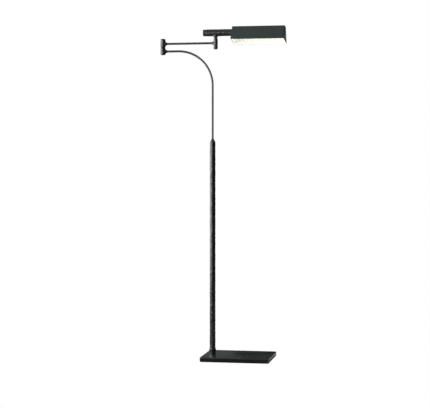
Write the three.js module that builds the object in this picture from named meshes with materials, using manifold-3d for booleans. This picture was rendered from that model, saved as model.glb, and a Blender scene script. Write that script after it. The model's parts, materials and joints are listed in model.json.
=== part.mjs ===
// A pharmacy floor lamp: a heavy plate base, a hammered post at one end of it, a slim bent column
// that telescopes and turns in the post, a folded-back swing arm, and a trough shade that turns about
// its hammered handle. Millimetres, +Z up. The origin is on the floor under the middle of the base, +X
// runs along the base towards the shade and +Y towards the cord outlet at the back.
import * as THREE from "three";
import { mergeVertices } from "three/addons/utils/BufferGeometryUtils.js";
import Module from "manifold-3d";

// ---------- driving dimensions ----------

const fit = 0.3; // gap between pieces that seat in, on or around each other
const bearing = 0.35; // radial gap round a rod or pin that turns or slides
const washerGap = 0.1; // on each side of a friction washer

const pad = { thickness: 1.2, inset: 3 };
const base = { length: 305, width: 254, thickness: 18.4, corner: 10, bevel: 2.4 };
const pocket = { radius: 17, depth: 12 }; // under the post, for the nut that ties it down
const channel = { width: 9, depth: 11, endWall: 16 }; // lets the mains cord out at the back
const gland = { radius: 4.5, bore: 3.4, flange: 6.6, flangeLength: 1.8 };

const post = { length: 934.3, radius: 12.7, wall: 2, fromEnd: 35.8 };
const collar = { wall: 1.8, height: 27, taper: 6, softening: 0.6 };
const footPlug = { length: 25 };
const nipple = { radius: 4.9, bore: 3.2, below: 5, above: 32 }; // hollow threaded pipe
const tieWasher = { radius: 14, thickness: 2 };
const tieNut = { acrossFlats: 14, thickness: 4.2 };

const bush = { length: 30 };
const collet = { seat: 12, stubRadius: 7.4, stubLength: 5 };
const colletNut = { inset: 0.5, length: 17, topWall: 0.8 }; // inset from the post's surface

const rod = { radius: 4.75, wall: 1.5, inPost: 165 };
const bend = { radius: 152.4 };
const reach = { lower: 223.7, upper: 237.3 }; // between the vertical axes of the arms
const armHeight = 1359.8; // lower arm's centre line above the floor
const armGap = 33.6; // from the lower arm's centre line up to the upper arm's
const guide = { length: 24, fromEnd: 6 };
const clip = { radius: 8, thickness: 2 };
const columnSteps = 26;

const knuckle = { radius: 11.8, waist: 8.8, round: 4.5, lowerBelow: 15.2, upperAbove: 21.8 };
const boss = { rootWall: 3.5, tipWall: 0.85, length: 7.5 }; // flare where an arm leaves its knuckle
const socketDepth = 12; // how far an arm sits in its knuckle
const pivot = { radius: 4, bore: 2.5, headRadius: 7, headLength: 3, proud: 0.8 }; // past its nut
const counterbore = { radius: 7.6, nutDepth: 7, headDepth: 12 };
const pivotNut = { acrossFlats: 12, thickness: 3.5 };
const frictionWasher = { thickness: 0.6 };
const springWasher = { thickness: 1.4 };
const knuckleCap = { thickness: 3.2, rise: 1.1 };

const tee = { radius: 9.7, above: 18.6, below: 24, capRise: 3.6 };
const neck = { radius: 7.6, flare: 14, length: 11.8 };
const handle = { radius: 15, wall: 1.5, beforeTee: 39.2, afterTee: 74.4 };
const saddleNut = { acrossFlats: 12, thickness: 3.5 };
const endDisc = { thickness: 4 };
const knob = { inset: 0.4, length: 15.6, edge: 1.6 }; // inset from the handle's surface
const dimmer = { radius: 11, length: 21, shaft: 3, shaftLength: 16 };

const shade = {
  length: 232.5,
  mouth: 110,
  crown: 35,
  depth: 65.5,
  lip: 6,
  sheet: 1.2,
  axisAboveMouth: 41.5,
  tilt: 7.5, // degrees that the front edge is raised
};
const shadeWasher = { radius: 12, thickness: 1 };
const lockNut = { acrossFlats: 19, thickness: 4 };
const holder = { radius: 17, length: 43, floor: 14, bore: 13.9 };
const bulb = { capRadius: 13, capLength: 25, neckRadius: 12.2, radius: 16, length: 120, glass: 0.8 };
const lead = { radius: 2.2, setBack: 3 }; // the leads stop this far inside the tubes they run in

// ---------- places that follow from them ----------

const baseTop = pad.thickness + base.thickness;
const postX = post.fromEnd - base.length / 2;
const postTop = baseTop + post.length;
const postBore = post.radius - post.wall;
const rodBore = rod.radius - rod.wall;
const rodEnd = postTop - rod.inPost;
const elbowX = postX - reach.lower;
const teeX = elbowX + reach.upper;
const upperArmHeight = armHeight + armGap;
const interfaceHeight = armHeight + armGap / 2; // where the two elbow knuckles meet
const teeTop = upperArmHeight + tee.above;
const handleHeight = teeTop + neck.length + handle.radius;
const handleBore = handle.radius - handle.wall;
const collarBore = post.radius + fit;
const collarRadius = collarBore + collar.wall;
const colletNutRadius = post.radius - colletNut.inset;
const colletNutTop = rod.radius + bearing + colletNut.topWall;
const armSeat = rod.radius + fit; // bore of the sockets that the arms sit in
const bossRadius = armSeat + boss.rootWall;
const bossTip = armSeat + boss.tipWall;
const knobRadius = handle.radius - knob.inset;

// ---------- materials ----------

const finish = (color, roughness, metalness) =>
  new THREE.MeshStandardMaterial({ color, roughness, metalness });
const hammeredIron = finish(0x1d1f1f, 0.42, 0.7);
const smoothIron = finish(0x232626, 0.38, 0.7);
const baseIron = finish(0x1b1f1e, 0.35, 0.6);
const shadeEnamel = finish(0x2c3331, 0.45, 0.3);
const zincSteel = finish(0xa8abad, 0.4, 0.9);
const brass = finish(0xb08d4a, 0.35, 0.9);
const nylon = finish(0xdedbd0, 0.6, 0);
const fibre = finish(0x8a4a32, 0.8, 0);
const felt = finish(0x1a1a1c, 0.95, 0);
const rubber = finish(0x111111, 0.75, 0);
const porcelain = finish(0xf1eee6, 0.3, 0);
const frostedGlass = finish(0xfff6e2, 0.5, 0);
const plastic = finish(0x202122, 0.5, 0);
const leadJacket = finish(0xc9b98f, 0.55, 0);

// ---------- shaping ----------

const wasm = await Module();
wasm.setup();

function toSolid(geometry) {
  const bare = new THREE.BufferGeometry();
  bare.setAttribute("position", geometry.getAttribute("position"));
  bare.setIndex(geometry.index);
  const merged = mergeVertices(bare, 1e-4);
  const vertProperties = merged.getAttribute("position").array;
  const triVerts = new Uint32Array(merged.index.array);
  return new wasm.Manifold(new wasm.Mesh({ numProp: 3, vertProperties, triVerts }));
}

function fromSolid(solid) {
  const { vertProperties, triVerts } = solid.getMesh();
  const geometry = new THREE.BufferGeometry();
  geometry.setAttribute("position", new THREE.BufferAttribute(vertProperties, 3));
  geometry.setIndex(new THREE.BufferAttribute(triVerts, 1));
  geometry.computeVertexNormals();
  return geometry;
}

const cut = (body, ...tools) =>
  fromSolid(tools.reduce((left, tool) => left.subtract(toSolid(tool)), toSolid(body)));
const join = (...bodies) => fromSolid(bodies.map(toSolid).reduce((all, one) => all.add(one)));

// Turns an outline of [radius, height] points, listed anticlockwise, about +Z.
function turned(outline, segments = 24) {
  const points = outline.map(([radius, height]) => new THREE.Vector2(radius, height));
  return new THREE.LatheGeometry(points, segments).rotateX(Math.PI / 2);
}

const alongX = (geometry) => geometry.rotateY(Math.PI / 2);
const alongY = (geometry) => geometry.rotateX(-Math.PI / 2);

const disc = (radius, low, high, segments) =>
  turned([[0, low], [radius, low], [radius, high], [0, high]], segments);

const ring = (bore, radius, low, high, segments) =>
  turned([[bore, low], [radius, low], [radius, high], [bore, high], [bore, low]], segments);

function hexNut(acrossFlats, bore, low, high) {
  const corner = acrossFlats / 2 / Math.cos(Math.PI / 6);
  return cut(disc(corner, low, high, 6), disc(bore, low - 1, high + 1, 18));
}

function box(x0, x1, y0, y1, z0, z1) {
  return new THREE.BoxGeometry(x1 - x0, y1 - y0, z1 - z0).translate(
    (x0 + x1) / 2,
    (y0 + y1) / 2,
    (z0 + z1) / 2,
  );
}

function roundedRectangle(length, width, corner) {
  const shape = new THREE.Shape();
  const x = length / 2;
  const y = width / 2;
  const quarter = Math.PI / 2;
  [[x, -y, -1, 1], [x, y, -1, -1], [-x, y, 1, -1], [-x, -y, 1, 1]].forEach(([cx, cy, sx, sy], i) => {
    const start = (i - 1) * quarter;
    shape.absarc(cx + sx * corner, cy + sy * corner, corner, start, start + quarter, false);
  });
  shape.closePath();
  return shape;
}

function plate(length, width, thickness, corner, bevel) {
  return new THREE.ExtrudeGeometry(roundedRectangle(length, width, corner), {
    depth: thickness - 2 * bevel,
    bevelEnabled: bevel > 0,
    bevelThickness: bevel,
    bevelSize: bevel,
    bevelOffset: -bevel,
    bevelSegments: 3,
    curveSegments: 7,
  }).translate(0, 0, bevel);
}

// A round section carried along a curve.
function swept(curve, radius, steps, sides = 12) {
  const section = new THREE.Shape();
  for (let i = 0; i < sides; i++) {
    const turn = (i / sides) * 2 * Math.PI;
    const move = i ? "lineTo" : "moveTo";
    section[move](radius * Math.cos(turn), radius * Math.sin(turn));
  }
  return new THREE.ExtrudeGeometry(section, { steps, bevelEnabled: false, extrudePath: curve });
}

// The column's centre line: up out of the post, round the bend, and level to the elbow. The straight
// stretches take one step each, and the bend takes all the others.
class ColumnLine extends THREE.Curve {
  constructor(low, end) {
    super();
    this.low = low;
    this.end = end - reach.lower;
  }
  getUtoTmapping(u) {
    return u;
  }
  getPoint(t, target = new THREE.Vector3()) {
    const step = t * columnSteps;
    const bendStart = armHeight - bend.radius;
    if (step < 1) return target.set(0, 0, this.low + step * (bendStart - this.low));
    const left = columnSteps - step;
    if (left < 1) return target.set(this.end - left * (this.end + bend.radius), 0, armHeight);
    const turn = ((step - 1) / (columnSteps - 2)) * (Math.PI / 2);
    return target.set(bend.radius * (Math.cos(turn) - 1), 0, bendStart + bend.radius * Math.sin(turn));
  }
}

function add(group, name, geometry, material) {
  const mesh = new THREE.Mesh(geometry, material);
  mesh.name = name;
  group.add(mesh);
}

function groupAt(parent, x, y, z) {
  const group = new THREE.Group();
  group.position.set(x, y, z);
  parent.add(group);
  return group;
}

// ---------- the stand: pad, base plate and what ties the post to it ----------

function buildBase(lamp) {
  const inset = 2 * pad.inset;
  const corner = base.corner - pad.inset;
  add(lamp, "floor_pad", plate(base.length - inset, base.width - inset, pad.thickness, corner, 0), felt);

  const group = groupAt(lamp, 0, 0, pad.thickness);
  const back = base.width / 2;
  const glandHeight = channel.depth - gland.radius;
  const underPocket = disc(pocket.radius, -1, pocket.depth, 24).translate(postX, 0, 0);
  const nippleHole = disc(nipple.radius + fit, 0, base.thickness + 1, 18).translate(postX, 0, 0);
  const halfChannel = channel.width / 2;
  const cordChannel = box(
    postX - halfChannel,
    postX + halfChannel,
    0,
    back - channel.endWall,
    -1,
    channel.depth,
  );
  const cordHole = alongY(disc(gland.radius + fit, back - channel.endWall - 1, back + 1, 18));
  add(
    group,
    "base_plate",
    cut(
      plate(base.length, base.width, base.thickness, base.corner, base.bevel),
      underPocket,
      nippleHole,
      cordChannel,
      cordHole.translate(postX, 0, glandHeight),
    ),
    baseIron,
  );

  const glandLength = channel.endWall - 2;
  const grommet = turned(
    [
      [gland.bore, -glandLength],
      [gland.radius, -glandLength],
      [gland.radius, fit],
      [gland.flange, fit],
      [gland.flange - 0.6, gland.flangeLength],
      [gland.bore, gland.flangeLength],
      [gland.bore, -glandLength],
    ],
    24,
  );
  add(group, "cord_gland", alongY(grommet).translate(postX, back, glandHeight), rubber);
}

function buildTieDown(lamp) {
  const group = groupAt(lamp, postX, 0, baseTop);
  const washerTop = pocket.depth - base.thickness - fit;
  const nutTop = washerTop - tieWasher.thickness - fit;
  const hole = nipple.radius + fit;
  add(
    group,
    "tie_washer",
    ring(hole, tieWasher.radius, washerTop - tieWasher.thickness, washerTop, 20),
    zincSteel,
  );
  add(group, "tie_nut", hexNut(tieNut.acrossFlats, hole, nutTop - tieNut.thickness, nutTop), zincSteel);
  add(
    group,
    "tie_nipple",
    ring(nipple.bore, nipple.radius, nipple.below - base.thickness, nipple.above, 18),
    zincSteel,
  );
  add(group, "post_foot_plug", ring(hole, postBore - fit, fit, footPlug.length, 20), zincSteel);

  add(
    group,
    "foot_collar",
    turned([
      [collarBore, 0],
      [collarRadius, 0],
      [collarRadius, collar.height - collar.taper],
      [collarRadius - collar.softening, collar.height - collar.taper / 2],
      [collarBore + collar.softening, collar.height],
      [collarBore, collar.height],
      [collarBore, 0],
    ]),
    hammeredIron,
  );
  add(group, "post_tube", ring(postBore, post.radius, 0, post.length, 24), hammeredIron);
}

// ---------- the collet at the top of the post ----------

function buildCollet(lamp) {
  const group = groupAt(lamp, postX, 0, postTop);
  const bore = rod.radius + bearing;
  const seatRadius = postBore - fit;
  add(
    group,
    "collet_body",
    turned([
      [bore, -collet.seat],
      [seatRadius, -collet.seat],
      [seatRadius, 0],
      [collet.stubRadius, 0],
      [collet.stubRadius, collet.stubLength],
      [bore, collet.stubLength],
      [bore, -collet.seat],
    ]),
    brass,
  );
  const bushTop = -collet.seat - fit;
  add(group, "column_bush", ring(bore, seatRadius, bushTop - bush.length, bushTop, 20), nylon);

  const inside = collet.stubRadius + fit;
  const ceiling = collet.stubLength + fit;
  add(
    group,
    "collet_nut",
    turned([
      [inside, fit],
      [colletNutRadius, fit],
      ...[0.2, 0.5, 0.75, 1].map((share) => [
        colletNutTop + (colletNutRadius - colletNutTop) * Math.cos((share * Math.PI) / 2) ** 1.4,
        colletNut.length * share,
      ]),
      [bore, colletNut.length],
      [bore, ceiling],
      [inside, ceiling],
      [inside, fit],
    ]),
    hammeredIron,
  );
}

// ---------- the telescopic column and its guide in the post ----------

function buildColumn(lamp) {
  const group = groupAt(lamp, postX, 0, 0);
  const bore = rod.radius + bearing;
  const guideLow = rodEnd + guide.fromEnd;
  const guideHigh = guideLow + guide.length;
  add(group, "rod_guide", ring(bore, postBore - bearing, guideLow, guideHigh, 20), nylon);
  const clipRing = (low) => ring(rod.radius + fit, clip.radius, low, low + clip.thickness, 18);
  add(group, "guide_clip_lower", clipRing(guideLow - fit - clip.thickness), zincSteel);
  add(group, "guide_clip_upper", clipRing(guideHigh + fit), zincSteel);

  const armEnd = knuckle.radius - socketDepth + boss.length;
  const outside = swept(new ColumnLine(rodEnd, armEnd), rod.radius, columnSteps);
  const inside = swept(new ColumnLine(rodEnd - 2, armEnd - 2), rodBore, columnSteps);
  add(group, "column_rod", cut(outside, inside), smoothIron);
  const leadLine = new ColumnLine(rodEnd + lead.setBack, armEnd + lead.setBack);
  add(group, "column_lead", swept(leadLine, lead.radius, columnSteps, 8), leadJacket);
}

// ---------- the elbow: two knuckles on one hollow pivot ----------

// A barrel with softened ends between two heights, round the group's Z axis.
function barrel(low, high, radius, end, round) {
  const mid = (radius - end) * 0.3;
  return turned([
    [0, low],
    [end, low],
    [radius - mid, low + round * 0.45],
    [radius, low + round],
    [radius, high - round],
    [radius - mid, high - round * 0.45],
    [end, high],
    [0, high],
  ]);
}

// The flare where an arm leaves a barrel of that radius, pointing along +X from the barrel's axis.
function armBoss(barrelRadius, height) {
  const tip = barrelRadius + boss.length;
  return alongX(
    turned([
      [0, 2],
      [bossRadius, 2],
      [bossRadius, barrelRadius - boss.length * 0.2],
      [(bossRadius + bossTip) / 2, barrelRadius + boss.length * 0.4],
      [bossTip, tip],
      [0, tip],
    ], 18),
  ).translate(0, 0, height);
}

// The arm's socket, and the hole from it to the pivot for the lead.
function armSocket(barrelRadius, height) {
  const tip = barrelRadius + boss.length;
  const seat = tip - socketDepth - fit;
  return [
    alongX(disc(armSeat, seat, tip + 2, 18)).translate(0, 0, height),
    alongX(disc(rodBore, 0, seat + 1, 20)).translate(0, 0, height),
  ];
}

function buildElbow(lamp) {
  const group = groupAt(lamp, elbowX, 0, interfaceHeight);
  const hole = pivot.radius + bearing;
  const half = frictionWasher.thickness / 2 + washerGap;
  const lowerArm = -armGap / 2;
  const upperArm = armGap / 2;
  const bottom = lowerArm - knuckle.lowerBelow;
  const top = upperArm + knuckle.upperAbove;

  add(
    group,
    "elbow_lower_knuckle",
    cut(
      join(
        barrel(bottom, -half, knuckle.radius, knuckle.waist, knuckle.round),
        armBoss(knuckle.radius, lowerArm),
      ),
      ...armSocket(knuckle.radius, lowerArm),
      disc(hole, bottom - 1, 1, 18),
      disc(counterbore.radius, bottom - 1, bottom + counterbore.nutDepth, 20),
    ),
    hammeredIron,
  );
  add(
    group,
    "elbow_upper_knuckle",
    cut(
      join(
        barrel(half, top, knuckle.radius, knuckle.waist, knuckle.round),
        armBoss(knuckle.radius, upperArm),
      ),
      ...armSocket(knuckle.radius, upperArm),
      disc(hole, -1, top + 1, 18),
      disc(counterbore.radius, top - counterbore.headDepth, top + 1, 20),
    ),
    hammeredIron,
  );
  add(
    group,
    "elbow_friction_washer",
    ring(hole, knuckle.waist - fit, -frictionWasher.thickness / 2, frictionWasher.thickness / 2, 20),
    fibre,
  );

  const shelf = top - counterbore.headDepth;
  const springTop = shelf + fit + springWasher.thickness;
  const springWasherRing = ring(hole, counterbore.radius - 2 * fit, shelf + fit, springTop, 20);
  add(group, "elbow_spring_washer", springWasherRing, zincSteel);
  const headLow = springTop + fit;
  const nutCeiling = bottom + counterbore.nutDepth;
  const pivotEnd = nutCeiling - pivotNut.thickness - fit - pivot.proud;
  add(
    group,
    "elbow_pivot",
    turned([
      [pivot.bore, pivotEnd],
      [pivot.radius, pivotEnd],
      [pivot.radius, headLow],
      [pivot.headRadius, headLow],
      [pivot.headRadius, headLow + pivot.headLength],
      [pivot.bore, headLow + pivot.headLength],
      [pivot.bore, pivotEnd],
    ], 18),
    zincSteel,
  );
  const nutTop = nutCeiling - fit;
  add(
    group,
    "elbow_pivot_nut",
    hexNut(pivotNut.acrossFlats, pivot.radius + fit, nutTop - pivotNut.thickness, nutTop),
    zincSteel,
  );
  add(group, "elbow_top_cap", domedCap(counterbore.radius - fit, top - 2.6, top, 1), hammeredIron);
  add(group, "elbow_bottom_cap", domedCap(counterbore.radius - fit, bottom + 1.6, bottom, -1), hammeredIron);
}

// A plug with a low dome on its outer face; side is 1 for a top cap and -1 for a bottom cap.
function domedCap(radius, inner, outer, side) {
  const rise = side * knuckleCap.rise;
  const outline = [
    [0, inner],
    [radius, inner],
    [radius, outer],
    [radius * 0.72, outer + rise * 0.55],
    [radius * 0.38, outer + rise * 0.9],
    [0, outer + rise],
  ];
  return turned(side > 0 ? outline : outline.reverse(), 20);
}

// ---------- the upper arm and the knuckle at its end ----------

function buildUpperArm(lamp) {
  const group = groupAt(lamp, elbowX, 0, upperArmHeight);
  const start = knuckle.radius + boss.length - socketDepth;
  const end = reach.upper - (tee.radius + boss.length - socketDepth);
  add(group, "upper_arm_tube", alongX(ring(rodBore, rod.radius, start, end, 18)), smoothIron);
  const leadRod = disc(lead.radius, start + lead.setBack, end - lead.setBack, 12);
  add(group, "upper_arm_lead", alongX(leadRod), leadJacket);

  const knuckleGroup = groupAt(lamp, teeX, 0, upperArmHeight);
  const pinHole = pivot.radius + bearing;
  const faceUp = (geometry) => geometry.rotateZ(Math.PI);
  add(
    knuckleGroup,
    "tee_knuckle",
    cut(
      join(barrel(-tee.below, tee.above, tee.radius, tee.radius - 1.4, 3), faceUp(armBoss(tee.radius, 0))),
      ...armSocket(tee.radius, 0).map(faceUp),
      disc(pinHole, -tee.below - 1, tee.above + 1, 18),
      disc(counterbore.radius, -tee.below - 1, -tee.below + counterbore.nutDepth, 20),
    ),
    hammeredIron,
  );
  const plug = counterbore.radius - fit;
  const low = -tee.below;
  const lip = tee.radius - 1.4;
  add(
    knuckleGroup,
    "tee_bottom_cap",
    turned([
      [0, low - tee.capRise],
      [lip * 0.5, low - tee.capRise * 0.88],
      [lip * 0.86, low - tee.capRise * 0.5],
      [lip, low - fit],
      [plug, low - fit],
      [plug, low + 1.6],
      [0, low + 1.6],
    ], 20),
    hammeredIron,
  );
}

// ---------- the head: pivot, handle, dimmer, lampholder and bulb ----------

function buildHeadPivot(lamp) {
  const group = groupAt(lamp, teeX, 0, teeTop);
  const washerTop = washerGap + frictionWasher.thickness;
  const hole = pivot.radius + bearing;
  add(group, "tee_friction_washer", ring(hole, neck.radius - fit, washerGap, washerTop, 20), fibre);

  const axis = neck.length + handle.radius;
  const neckLow = washerTop + washerGap;
  const bore = pivot.radius + fit;
  const wings = axis - handle.radius * 0.55;
  const handleSpace = alongX(disc(handle.radius + fit, -40, 40, 32)).translate(0, 0, axis);
  add(
    group,
    "handle_saddle",
    cut(
      turned([
        [bore, neckLow],
        [neck.radius, neckLow],
        [neck.radius, neck.length * 0.5],
        [neck.radius + 1.4, neck.length * 0.72],
        [neck.flare - 2.4, neck.length * 0.95],
        [neck.flare, neck.length + 2],
        [neck.flare, wings],
        [bore, wings],
        [bore, neckLow],
      ], 24),
      handleSpace,
    ),
    hammeredIron,
  );

  const nutCeiling = counterbore.nutDepth - tee.below - tee.above;
  const pinLow = nutCeiling - pivotNut.thickness - fit - pivot.proud;
  const nutFloor = axis - Math.sqrt(handleBore ** 2 - (saddleNut.acrossFlats * 0.58) ** 2) + fit;
  const pinHigh = nutFloor + saddleNut.thickness + pivot.proud;
  add(group, "head_pivot", ring(pivot.bore, pivot.radius, pinLow, pinHigh, 18), zincSteel);
  const lowNutTop = nutCeiling - fit;
  add(
    group,
    "head_pivot_nut",
    hexNut(pivotNut.acrossFlats, bore, lowNutTop - pivotNut.thickness, lowNutTop),
    zincSteel,
  );
  add(
    group,
    "saddle_nut",
    hexNut(saddleNut.acrossFlats, bore, nutFloor, nutFloor + saddleNut.thickness),
    zincSteel,
  );
}

function buildHandle(lamp) {
  const group = groupAt(lamp, teeX, 0, handleHeight);
  const left = -handle.beforeTee;
  const right = handle.afterTee;
  const pivotHole = disc(pivot.radius + fit, -handle.radius - 2, 0, 18);
  add(
    group,
    "handle_tube",
    cut(alongX(ring(handleBore, handle.radius, left, right, 24)), pivotHole),
    hammeredIron,
  );

  const plug = handleBore - fit;
  const shaftHole = dimmer.shaft + 1.4;
  add(group, "switch_disc", alongX(ring(shaftHole, plug, left, left + endDisc.thickness, 20)), zincSteel);
  const switchStart = left + endDisc.thickness + fit;
  const switchEnd = switchStart + dimmer.length;
  add(group, "dimmer_switch", alongX(disc(dimmer.radius, switchStart, switchEnd, 18)), plastic);
  const shaftEnd = switchStart - fit;
  const shaftStart = shaftEnd - dimmer.shaftLength;
  add(group, "dimmer_shaft", alongX(disc(dimmer.shaft, shaftStart, shaftEnd, 16)), zincSteel);
  const knobEnd = left - fit;
  const knobStart = knobEnd - knob.length;
  add(
    group,
    "dimmer_knob",
    cut(
      alongX(
        turned([
          [0, knobStart],
          [knobRadius - knob.edge, knobStart],
          [knobRadius, knobStart + knob.edge],
          [knobRadius, knobEnd],
          [0, knobEnd],
        ]),
      ),
      alongX(disc(dimmer.shaft + fit, shaftStart - fit, knobEnd + 1, 16)),
    ),
    hammeredIron,
  );

  const bore = nipple.radius + fit;
  const discStart = right - endDisc.thickness;
  add(group, "holder_disc", alongX(ring(bore, plug, discStart, right, 20)), zincSteel);
  const nutEnd = discStart - fit;
  add(
    group,
    "holder_nut",
    alongX(hexNut(tieNut.acrossFlats, bore, nutEnd - tieNut.thickness, nutEnd)),
    zincSteel,
  );
  const nippleStart = nutEnd - tieNut.thickness - 3;
  const holderStart = holderPlace();
  add(
    group,
    "holder_nipple",
    alongX(ring(nipple.bore, nipple.radius, nippleStart, holderStart + holder.floor - 4, 18)),
    zincSteel,
  );

  const leadLine = new THREE.CatmullRomCurve3([
    new THREE.Vector3(switchEnd + fit, 0, 5),
    new THREE.Vector3(switchEnd + 12, 0, 6),
    new THREE.Vector3((left + right) / 2, 2, 4),
    new THREE.Vector3(nippleStart - 12, 0, 0.6),
    new THREE.Vector3(nippleStart - 2, 0, 0),
  ]);
  add(group, "handle_lead", swept(leadLine, lead.radius, 26, 8), leadJacket);
  return group;
}

// Where the lampholder starts, along X from the tee: past the shade's end plate, washers and lock nut.
function holderPlace() {
  const { thickness } = shadeWasher;
  return handle.afterTee + 2 * thickness + shade.sheet + lockNut.thickness + 5 * fit;
}

function buildLampholder(group) {
  const start = holderPlace();
  const end = start + holder.length;
  const seat = start + holder.floor;
  const bore = nipple.radius + fit;
  add(
    group,
    "lampholder",
    alongX(
      turned([
        [bore, start],
        [holder.radius - 3, start],
        [holder.radius, start + 5],
        [holder.radius, end - 1.5],
        [holder.radius - 1, end],
        [holder.bore, end],
        [holder.bore, seat],
        [bore, seat],
        [bore, start],
      ]),
    ),
    porcelain,
  );
  const capStart = seat + 2;
  const capEnd = capStart + bulb.capLength;
  add(
    group,
    "bulb_cap",
    alongX(
      turned([
        [0, capStart],
        [4, capStart],
        [6, capStart + 3],
        [bulb.capRadius - 0.8, capStart + 6],
        [bulb.capRadius, capStart + 8],
        [bulb.capRadius, capEnd],
        [0, capEnd],
      ], 20),
    ),
    brass,
  );
  const glassStart = capEnd + fit;
  const glassEnd = glassStart + bulb.length;
  const wallOutline = (inset) => [
    [bulb.neckRadius - inset, glassStart],
    [bulb.neckRadius - inset, glassStart + 4],
    [bulb.radius - inset, glassStart + 14],
    [bulb.radius - inset, glassEnd - 12],
    [(bulb.radius - inset) * 0.88, glassEnd - 5 - inset * 0.4],
    [(bulb.radius - inset) * 0.5, glassEnd - 1 - inset],
    [0, glassEnd - inset],
  ];
  add(
    group,
    "bulb_glass",
    alongX(turned([...wallOutline(0), ...wallOutline(bulb.glass).reverse(), wallOutline(0)[0]], 20)),
    frostedGlass,
  );
}

// ---------- the shade ----------

// Half of the trough's section, from the mouth up to the crown, drawn in by a wall's thickness.
function halfTrough(inset, mouthDrop = 0) {
  const lean = Math.atan2(shade.mouth / 2 - shade.crown / 2, shade.depth - shade.lip);
  const lipWidth = shade.mouth / 2 - inset;
  const lipTop = shade.lip - inset * Math.tan(lean / 2);
  const crownHeight = shade.depth - inset;
  const crownWidth =
    shade.mouth / 2 - Math.tan(lean) * (crownHeight - shade.lip) - inset / Math.cos(lean);
  return [[lipWidth, -mouthDrop], [lipWidth, lipTop], [crownWidth, crownHeight]];
}

// The whole section as a closed prism along +X between two places, with the mouth at the bottom.
function troughPrism(inset, from, to, mouthDrop = 0) {
  const half = halfTrough(inset, mouthDrop);
  const mirrored = half.map(([y, z]) => [-y, z]).reverse();
  const shape = new THREE.Shape([...half, ...mirrored].map(([y, z]) => new THREE.Vector2(y, z)));
  const axes = new THREE.Matrix4().makeBasis(
    new THREE.Vector3(0, 1, 0),
    new THREE.Vector3(0, 0, 1),
    new THREE.Vector3(1, 0, 0),
  );
  const prism = new THREE.ExtrudeGeometry(shape, { depth: to - from, bevelEnabled: false });
  return prism.applyMatrix4(axes).translate(from, 0, -shade.axisAboveMouth);
}

function buildShade(handleGroup) {
  const group = groupAt(handleGroup, 0, 0, 0);
  group.rotation.x = -THREE.MathUtils.degToRad(shade.tilt);
  const bore = nipple.radius + bearing;
  const washer = (start) =>
    alongX(ring(bore, shadeWasher.radius, start, start + shadeWasher.thickness, 20));
  const outerWasher = handle.afterTee + fit;
  const start = outerWasher + shadeWasher.thickness + fit;
  const end = start + shade.length;
  add(group, "shade_outer_washer", washer(outerWasher), fibre);
  add(
    group,
    "shade_shell",
    cut(troughPrism(0, start, end), troughPrism(shade.sheet, start - 1, end + 1, 2)),
    shadeEnamel,
  );
  const endPlate = (from) => troughPrism(shade.sheet + fit, from, from + shade.sheet);
  const hole = alongX(disc(bore, start - 2, start + shade.sheet + 2, 20));
  add(group, "shade_end_near", cut(endPlate(start), hole), shadeEnamel);
  add(group, "shade_end_far", endPlate(end - shade.sheet), shadeEnamel);
  const innerWasher = start + shade.sheet + fit;
  add(group, "shade_inner_washer", washer(innerWasher), fibre);
  const nutStart = innerWasher + shadeWasher.thickness + fit;
  const lockRing = hexNut(lockNut.acrossFlats, nipple.radius + fit, nutStart, nutStart + lockNut.thickness);
  add(handleGroup, "shade_lock_nut", alongX(lockRing), zincSteel);
}

// ---------- the lamp ----------

const lamp = new THREE.Group();
buildBase(lamp);
buildTieDown(lamp);
buildCollet(lamp);
buildColumn(lamp);
buildElbow(lamp);
buildUpperArm(lamp);
buildHeadPivot(lamp);
const handleGroup = buildHandle(lamp);
buildLampholder(handleGroup);
buildShade(handleGroup);

export default lamp;
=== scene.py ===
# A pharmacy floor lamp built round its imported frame: plate base, hammered post, bent telescopic
# column, folding arm and a trough shade with its bulb alight, on a plain pale floor.
import json
import math

import bmesh
import bpy
import numpy as np
from mathutils import Matrix, Vector


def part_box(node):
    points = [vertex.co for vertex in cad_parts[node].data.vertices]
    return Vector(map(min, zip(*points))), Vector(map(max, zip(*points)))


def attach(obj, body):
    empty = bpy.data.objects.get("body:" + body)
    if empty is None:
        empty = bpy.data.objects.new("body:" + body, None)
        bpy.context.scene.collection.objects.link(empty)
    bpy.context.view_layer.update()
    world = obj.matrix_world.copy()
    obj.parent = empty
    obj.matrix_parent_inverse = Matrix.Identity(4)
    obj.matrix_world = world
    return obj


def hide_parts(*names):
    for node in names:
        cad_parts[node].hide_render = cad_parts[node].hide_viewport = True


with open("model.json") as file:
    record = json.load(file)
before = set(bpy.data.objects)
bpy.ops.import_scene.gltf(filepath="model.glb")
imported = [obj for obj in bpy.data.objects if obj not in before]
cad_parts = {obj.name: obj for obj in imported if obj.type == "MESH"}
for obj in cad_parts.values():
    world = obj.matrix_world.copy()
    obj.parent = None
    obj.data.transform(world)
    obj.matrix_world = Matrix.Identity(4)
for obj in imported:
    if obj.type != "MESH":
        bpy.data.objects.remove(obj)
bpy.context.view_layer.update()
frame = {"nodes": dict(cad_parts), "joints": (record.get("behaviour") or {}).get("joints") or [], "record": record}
cadNodes = frame["nodes"]
joints = {joint["name"]: joint for joint in frame["joints"]}
mm = 0.001

# a long lens, a little to the right of straight ahead
cameraValues = {
    "azimuth": 10.25,  # degrees from straight ahead, towards the shade's end of the lamp
    "lookDown": 1.664,
    "lens": 111.63,
    "place": (0.9425, -5.7979, 0.8556),
}


def addCamera(values):
    camera = bpy.data.objects.new("studioCamera", bpy.data.cameras.new("studioCamera"))
    camera.data.lens = values["lens"]
    camera.data.sensor_width = 36
    camera.data.clip_end = 60
    camera.location = values["place"]
    camera.rotation_euler = (
        math.radians(90 - values["lookDown"]),
        0,
        math.radians(values["azimuth"]),
    )
    bpy.context.scene.collection.objects.link(camera)
    bpy.context.scene.camera = camera


addCamera(cameraValues)
print("camera placed")


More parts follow.
